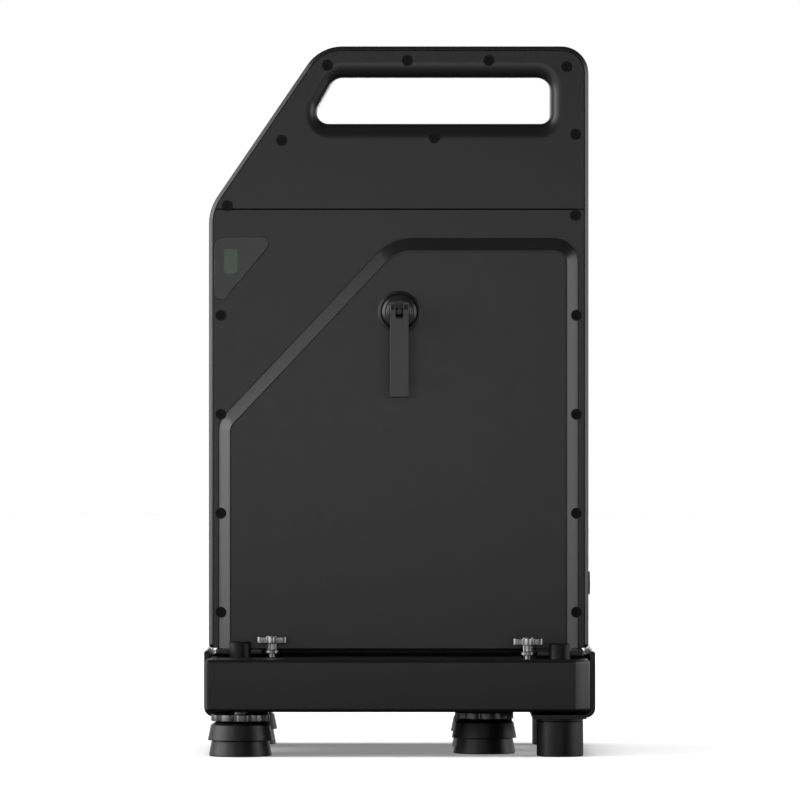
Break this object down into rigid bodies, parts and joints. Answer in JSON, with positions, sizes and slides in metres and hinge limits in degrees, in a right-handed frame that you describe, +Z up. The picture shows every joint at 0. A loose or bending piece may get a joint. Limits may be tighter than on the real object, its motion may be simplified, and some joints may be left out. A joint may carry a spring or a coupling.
{
  "type": "direct drive bike trainer",
  "caption": "Upright indoor bicycle trainer: slim cast casing with carrying handle, rear axle with cassette and quick release, belt driven flywheel, folding legs with levelling feet.",
  "frame": {"origin": "on the floor under the middle of the overall box", "axes": "+X towards the rear of the bicycle, +Y towards its drive side (right), +Z up; the axle lies along Y at x = 0"},
  "size_m": [0.3, 0.2478, 0.5457],
  "materials": {
    "cast_frame": "fine textured black powder coat",
    "cover": "fine textured black powder coat",
    "window": "smoked translucent plastic",
    "board": "solder mask",
    "plastic": "moulded",
    "axle_steel": "machined",
    "end_cap": "black anodised",
    "bearing_steel": "ground",
    "pulley": "machined",
    "freehub": "hard anodised",
    "cassette": "nickel plated",
    "belt": "moulded",
    "flywheel": "turned",
    "magnet_block": "painted",
    "lever": "satin",
    "bolt": "black zinc",
    "knob": "machined",
    "leg": "black powder coat",
    "adjuster": "dark anodised",
    "foot_rubber": "moulded"
  },
  "bodies": {
    "frame": {"main_frame": "cast_frame", "left_cover_upper": "cover", "left_cover_lower": "cover", "right_cover_upper": "cover", "right_cover_lower": "cover", "status_window": "window", "indicator_board": "board", "control_board": "board", "power_socket": "plastic", "axle_tube": "axle_steel", "axle_end_cap_left": "end_cap", "axle_end_cap_right": "end_cap", "hub_bearing_inner": "bearing_steel", "hub_bearing_outer": "bearing_steel", "freehub_bearing": "bearing_steel", "drive_belt": "belt", "flywheel_bearing": "bearing_steel", "brake_block": "magnet_block", "base_spine": "leg", "rear_bracket": "leg", "rear_strap": "leg", "front_bracket": "leg", "front_strap": "leg", "rear_left_post": "foot_rubber", "rear_left_pivot_bolt": "bolt", "rear_right_post": "foot_rubber", "rear_right_pivot_bolt": "bolt", "front_left_post": "foot_rubber", "front_left_pivot_bolt": "bolt", "front_left_leg": "leg", "front_left_leg_tip": "plastic", "front_right_post": "foot_rubber", "front_right_pivot_bolt": "bolt", "front_right_leg": "leg", "front_right_leg_tip": "plastic"},
    "rear_left_leg": {"rear_left_leg": "leg", "rear_left_leg_tip": "plastic"},
    "rear_right_leg": {"rear_right_leg": "leg", "rear_right_leg_tip": "plastic"},
    "release_rod": {"release_rod": "axle_steel"},
    "release_lever": {"release_lever": "lever"},
    "release_nut": {"release_nut": "knob"},
    "flywheel": {"flywheel": "flywheel", "flywheel_shaft": "axle_steel"},
    "drive_pulley": {"drive_pulley": "pulley"},
    "freehub": {"freehub_body": "freehub", "cassette": "cassette", "lockring": "freehub"},
    "rear_left_lock_knob": {"rear_left_lock_knob": "knob"},
    "rear_left_foot": {"rear_left_foot": "foot_rubber", "rear_left_foot_ring": "adjuster"},
    "rear_right_lock_knob": {"rear_right_lock_knob": "knob"},
    "rear_right_foot": {"rear_right_foot": "foot_rubber", "rear_right_foot_ring": "adjuster"},
    "front_left_lock_knob": {"front_left_lock_knob": "knob"},
    "front_left_foot": {"front_left_foot": "foot_rubber", "front_left_foot_ring": "adjuster"},
    "front_right_lock_knob": {"front_right_lock_knob": "knob"},
    "front_right_foot": {"front_right_foot": "foot_rubber", "front_right_foot_ring": "adjuster"}
  },
  "joints": [
    {"name": "flywheel_spin", "type": "hinge", "parent": "frame", "child": "flywheel", "pos_m": [0, 0, 0.18], "axis": [0, 1, 0], "continuous": true},
    {"name": "pulley_spin", "type": "hinge", "parent": "frame", "child": "drive_pulley", "pos_m": [0, 0, 0.34], "axis": [0, 1, 0], "continuous": true},
    {"name": "freewheel", "type": "hinge", "parent": "drive_pulley", "child": "freehub", "pos_m": [0, 0, 0.34], "axis": [0, 1, 0], "continuous": true},
    {"name": "release_rod_slide", "type": "slide", "parent": "frame", "child": "release_rod", "axis": [0, -1, 0], "range_m": [0, 0.19]},
    {"name": "release_lever_swing", "type": "hinge", "parent": "release_rod", "child": "release_lever", "pos_m": [0, -0.0864, 0.34], "axis": [-1, 0, 0], "range_deg": [0, 170]},
    {"name": "release_nut_slide", "type": "slide", "parent": "frame", "child": "release_nut", "axis": [0, 1, 0], "range_m": [0, 0.025]},
    {"name": "rear_left_fold", "type": "hinge", "parent": "frame", "child": "rear_left_leg", "pos_m": [0.1228, -0.099, 0.05], "axis": [0, 0, 1], "range_deg": [0, 90]},
    {"name": "rear_left_lock_lift", "type": "slide", "parent": "rear_left_leg", "child": "rear_left_lock_knob", "axis": [0, 0, 1], "range_m": [0, 0.008], "stiffness_N_per_m": 300, "springref_m": -0.003},
    {"name": "rear_left_foot_travel", "type": "slide", "parent": "rear_left_leg", "child": "rear_left_foot", "axis": [0, 0, -1], "range_m": [0, 0.009]},
    {"name": "rear_right_fold", "type": "hinge", "parent": "frame", "child": "rear_right_leg", "pos_m": [0.1228, 0.099, 0.05], "axis": [0, 0, -1], "range_deg": [0, 90]},
    {"name": "rear_right_lock_lift", "type": "slide", "parent": "rear_right_leg", "child": "rear_right_lock_knob", "axis": [0, 0, 1], "range_m": [0, 0.008], "stiffness_N_per_m": 300, "springref_m": -0.003},
    {"name": "rear_right_foot_travel", "type": "slide", "parent": "rear_right_leg", "child": "rear_right_foot", "axis": [0, 0, -1], "range_m": [0, 0.009]},
    {"name": "front_left_lock_lift", "type": "slide", "parent": "frame", "child": "front_left_lock_knob", "axis": [0, 0, 1], "range_m": [0, 0.008], "stiffness_N_per_m": 300, "springref_m": -0.003},
    {"name": "front_left_foot_travel", "type": "slide", "parent": "frame", "child": "front_left_foot", "axis": [0, 0, -1], "range_m": [0, 0.009]},
    {"name": "front_right_lock_lift", "type": "slide", "parent": "frame", "child": "front_right_lock_knob", "axis": [0, 0, 1], "range_m": [0, 0.008], "stiffness_N_per_m": 300, "springref_m": -0.003},
    {"name": "front_right_foot_travel", "type": "slide", "parent": "frame", "child": "front_right_foot", "axis": [0, 0, -1], "range_m": [0, 0.009]}
  ],
  "couplings": [
    {"joint": "pulley_spin", "follows": "flywheel_spin", "ratio": 0.17647}
  ]
}
